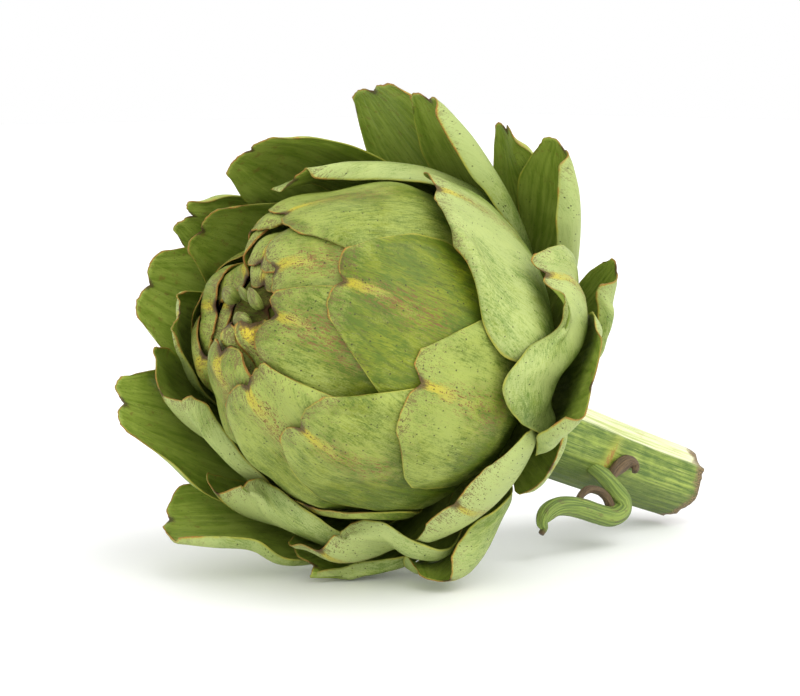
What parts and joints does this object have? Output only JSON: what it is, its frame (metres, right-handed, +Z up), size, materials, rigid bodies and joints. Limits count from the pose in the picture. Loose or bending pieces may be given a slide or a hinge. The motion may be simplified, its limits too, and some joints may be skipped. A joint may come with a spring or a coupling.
{
  "type": "globe artichoke",
  "caption": "Whole globe artichoke lying on its side: a round bulb of overlapping green bracts, open outer bracts and a thick cut stem with a withered leaf.",
  "frame": {"origin": "centre of the bottom of the whole object's box, on the surface that it lies on", "axes": "+Z up from that surface, +X from the head towards the cut end of the stem, which is the longest extent"},
  "size_m": [0.1903, 0.1377, 0.1416],
  "materials": {
    "closed_bract": "satin green bract with a pale bloom, yellow midrib streak and brown edge",
    "leaning_bract": "satin green bract with a pale bloom and a brown edge",
    "open_bract": "satin green bract, dark and smooth inside, pale outside",
    "bud": "satin green bud with a purple-brown tip",
    "stem": "ribbed fresh green stem with a brown cut rim",
    "dry_leaf": "wilted green with a dry brown tip"
  },
  "bodies": {
    "root": {"stem": "stem", "stem_leaf": "dry_leaf", "inner_bract_1": "closed_bract", "inner_bract_2": "closed_bract", "inner_bract_3": "closed_bract", "bud_1": "bud", "bud_2": "bud", "bud_3": "bud", "bud_4": "bud", "closed_bract_1": "closed_bract", "closed_bract_2": "closed_bract", "closed_bract_3": "closed_bract", "closed_bract_4": "closed_bract", "closed_bract_5": "closed_bract", "closed_bract_6": "closed_bract", "closed_bract_7": "closed_bract", "closed_bract_8": "closed_bract", "closed_bract_9": "closed_bract", "closed_bract_10": "closed_bract", "closed_bract_11": "closed_bract", "closed_bract_12": "closed_bract", "closed_bract_13": "closed_bract", "closed_bract_14": "closed_bract", "closed_bract_15": "closed_bract", "closed_bract_16": "closed_bract", "closed_bract_17": "closed_bract", "closed_bract_18": "closed_bract", "closed_bract_19": "closed_bract", "closed_bract_20": "closed_bract", "closed_bract_21": "closed_bract", "closed_bract_22": "closed_bract", "closed_bract_23": "closed_bract", "closed_bract_24": "closed_bract", "leaning_bract_1": "leaning_bract", "leaning_bract_2": "leaning_bract", "leaning_bract_3": "leaning_bract", "leaning_bract_4": "leaning_bract", "leaning_bract_5": "leaning_bract", "leaning_bract_6": "leaning_bract", "leaning_bract_7": "leaning_bract", "leaning_bract_8": "leaning_bract", "leaning_bract_9": "leaning_bract", "open_bract_1": "open_bract", "open_bract_2": "open_bract", "open_bract_3": "open_bract", "open_bract_4": "open_bract", "open_bract_5": "open_bract", "open_bract_6": "open_bract", "open_bract_7": "open_bract", "open_bract_8": "open_bract", "open_bract_9": "open_bract", "open_bract_10": "open_bract", "open_bract_11": "open_bract", "open_bract_12": "open_bract", "open_bract_13": "open_bract", "open_bract_14": "open_bract", "open_bract_15": "open_bract", "open_bract_16": "open_bract"}
  },
  "joints": []
}
